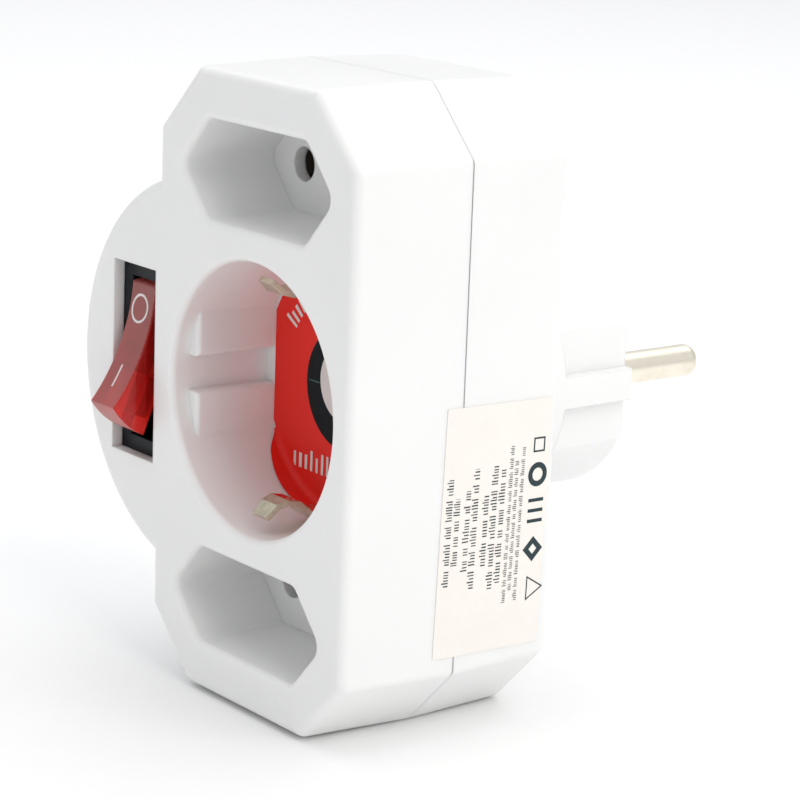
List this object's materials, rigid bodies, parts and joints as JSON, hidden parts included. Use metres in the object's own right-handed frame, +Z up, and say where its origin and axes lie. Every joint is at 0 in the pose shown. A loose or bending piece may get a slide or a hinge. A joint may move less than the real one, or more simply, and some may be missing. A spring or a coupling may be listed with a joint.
{
  "type": "switched plug adapter",
  "caption": "Plug-in adapter with an earthed round socket between flat slim-plug sockets, a lit rocker switch on a round side bulge, and an earthed plug with round pins behind.",
  "frame": {"origin": "midway between the two plug pins, on the face of the plug", "axes": "+Y into the wall, the way the plug pins point; +Z up; +X right seen from the front"},
  "size_m": [0.0685, 0.0798, 0.091],
  "materials": {
    "white_shell": "satin moulded white",
    "pin_metal": "nickel-plated brass, polished",
    "nickel_strip": "nickel-plated strip",
    "brass_strip": "plain brass",
    "rivet_metal": "plated brass",
    "bronze_leaf": "phosphor bronze",
    "black_frame": "black moulded",
    "red_rocker": "clear red, glossy",
    "lamp_glass": "clear glass",
    "plunger_plastic": "natural",
    "spring_steel": "drawn wire",
    "contact_silver": "silver contact",
    "resistor_ceramic": "lacquered",
    "wire_brown": "insulated",
    "wire_blue": "insulated",
    "screw_steel": "zinc-plated",
    "label_paper": "printed paper",
    "sticker_paper": "printed film"
  },
  "bodies": {
    "housing": {"front_cover": "white_shell", "rear_housing": "white_shell", "line_plug_pin": "pin_metal", "neutral_plug_pin": "pin_metal", "plug_earth_strap": "nickel_strip", "socket_earth_bracket": "nickel_strip", "earth_link": "brass_strip", "earth_rivets": "rivet_metal", "line_busbar": "brass_strip", "neutral_busbar": "brass_strip", "line_pin_tab": "brass_strip", "line_contact_upper": "bronze_leaf", "line_contact_middle": "bronze_leaf", "line_contact_lower": "bronze_leaf", "neutral_contact_upper": "bronze_leaf", "neutral_contact_middle": "bronze_leaf", "neutral_contact_lower": "bronze_leaf", "switch_body": "black_frame", "fixed_contact": "contact_silver", "terminal_in": "brass_strip", "terminal_out": "brass_strip", "terminal_lamp": "brass_strip", "lamp_resistor": "resistor_ceramic", "line_in_wire": "wire_brown", "line_out_wire": "wire_brown", "lamp_wire": "wire_blue", "housing_screws": "screw_steel", "rating_label": "label_paper", "socket_sticker": "sticker_paper"},
    "rocker": {"switch_rocker": "red_rocker", "neon_lamp": "lamp_glass", "switch_spring": "spring_steel"},
    "plunger": {"switch_plunger": "plunger_plastic"},
    "contact_arm": {"switch_contact_arm": "brass_strip", "moving_contact": "contact_silver"}
  },
  "joints": [
    {"name": "rocker_tilt", "type": "hinge", "parent": "housing", "child": "rocker", "pos_m": [-0.0295, -0.0509, 0], "axis": [1, 0, 0], "range_deg": [0, 44]},
    {"name": "plunger_slide", "type": "slide", "parent": "rocker", "child": "plunger", "axis": [0, 0.9272, -0.3746], "range_m": [-0.0005, 0], "stiffness_N_per_m": 400, "springref_m": 0.0005, "deforming": ["switch_spring"]},
    {"name": "contact_arm_tilt", "type": "hinge", "parent": "housing", "child": "contact_arm", "pos_m": [-0.0295, -0.04137, 0], "axis": [1, 0, 0], "range_deg": [-16, 0]}
  ],
  "couplings": [
    {"joint": "contact_arm_tilt", "follows": "rocker_tilt", "ratio": -0.36364}
  ]
}
